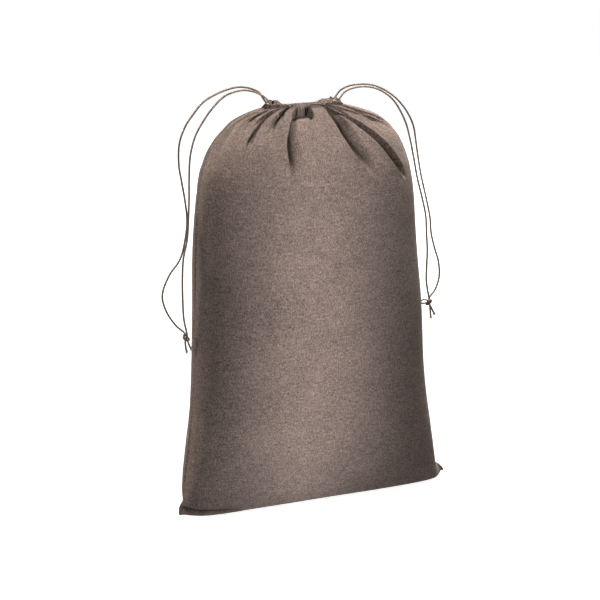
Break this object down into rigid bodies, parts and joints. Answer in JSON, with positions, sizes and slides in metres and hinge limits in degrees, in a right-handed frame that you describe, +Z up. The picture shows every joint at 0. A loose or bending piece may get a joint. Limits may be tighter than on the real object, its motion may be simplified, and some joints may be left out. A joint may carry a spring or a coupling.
{
  "type": "cotton drawstring gift bag",
  "caption": "Plain cotton drawstring pouch standing filled, with a hemmed top gathered by cords that end in knots at its sides.",
  "frame": {"origin": "on the floor, under the middle of the cloth bag", "axes": "+Z up from the floor to the gathered neck, +X to the right along the bag's width, front towards -Y"},
  "size_m": [0.305, 0.1046, 0.4199],
  "materials": {
    "front cloth": "plain woven cotton in a warm grey-brown melange, matt",
    "back cloth": "the same plain woven cotton as the front, matt",
    "cord": "thin twisted cotton cord, darker than the cloth, with paler frayed ends"
  },
  "bodies": {
    "root": {"front_panel": "front cloth", "back_panel": "back cloth", "left_cord_run": "cord", "right_cord_run": "cord", "left_strand_front": "cord", "left_strand_back": "cord", "right_strand_front": "cord", "right_strand_back": "cord", "left_knot": "cord", "right_knot": "cord", "left_tail_front": "cord", "left_tail_back": "cord", "right_tail_front": "cord", "right_tail_back": "cord", "right_knot_loop": "cord"}
  },
  "joints": []
}
